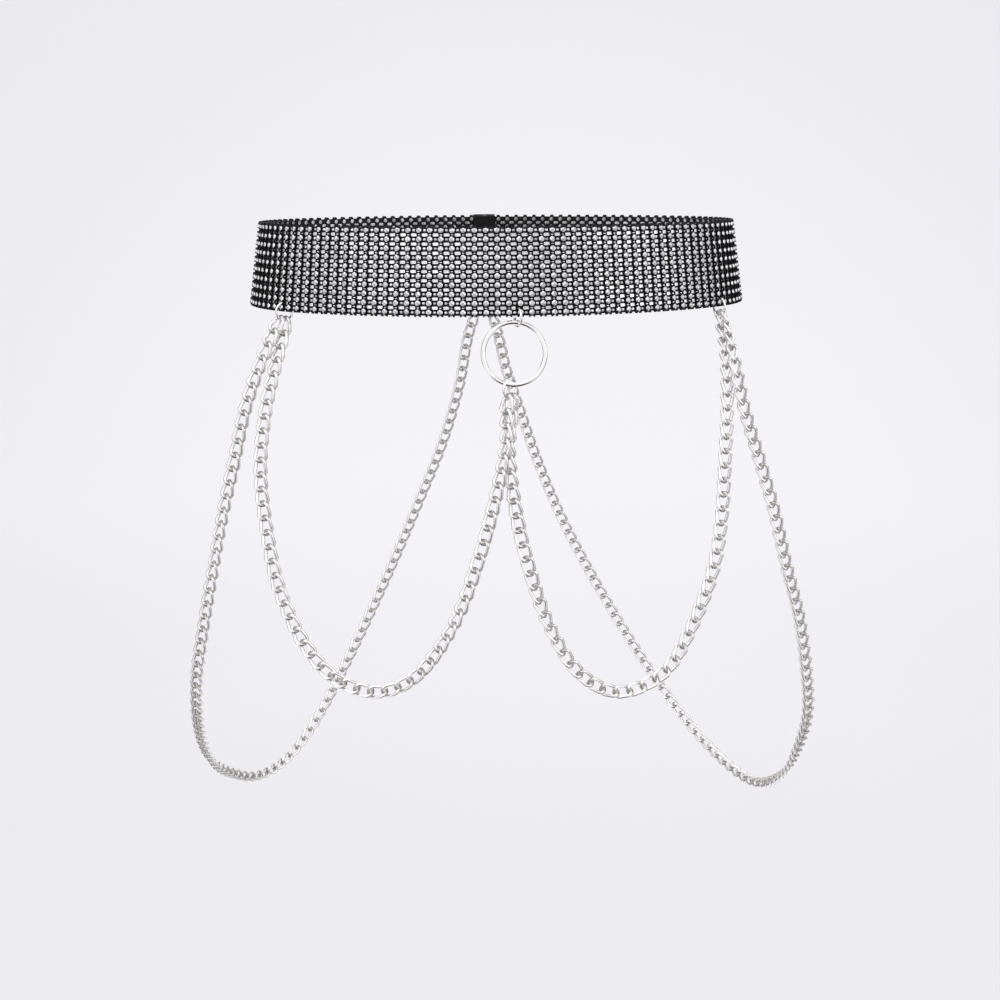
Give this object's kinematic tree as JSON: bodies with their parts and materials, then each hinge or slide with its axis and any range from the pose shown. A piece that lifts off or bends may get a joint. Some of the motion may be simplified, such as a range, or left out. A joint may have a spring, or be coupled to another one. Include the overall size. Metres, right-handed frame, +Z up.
{
  "type": "waist chain",
  "caption": "Wide stone-set mesh band worn round the waist, with a round ring in front and curb chain swags over the belly and hips.",
  "frame": {"origin": "centre of the band at half its height, on the axis of the waist", "axes": "+Z up along the wearer's waist, front towards -Y, +X towards the right as seen from the front"},
  "size_m": [0.3315, 0.2329, 0.3388],
  "materials": {
    "black_mesh": "black anodised mesh set with clear stones",
    "black_metal": "gloss black",
    "silver_ring": "polished silver plating",
    "silver_chain": "polished silver plating"
  },
  "bodies": {
    "root": {"band": "black_mesh", "back_clasp": "black_metal", "o_ring": "silver_ring", "front_jump_ring": "silver_ring", "lower_jump_ring": "silver_ring", "side_jump_ring_left": "silver_ring", "side_jump_ring_right": "silver_ring", "back_jump_ring": "silver_ring", "front_chain_left": "silver_chain", "front_chain_right": "silver_chain", "back_chain_left": "silver_chain", "back_chain_right": "silver_chain"}
  },
  "joints": []
}
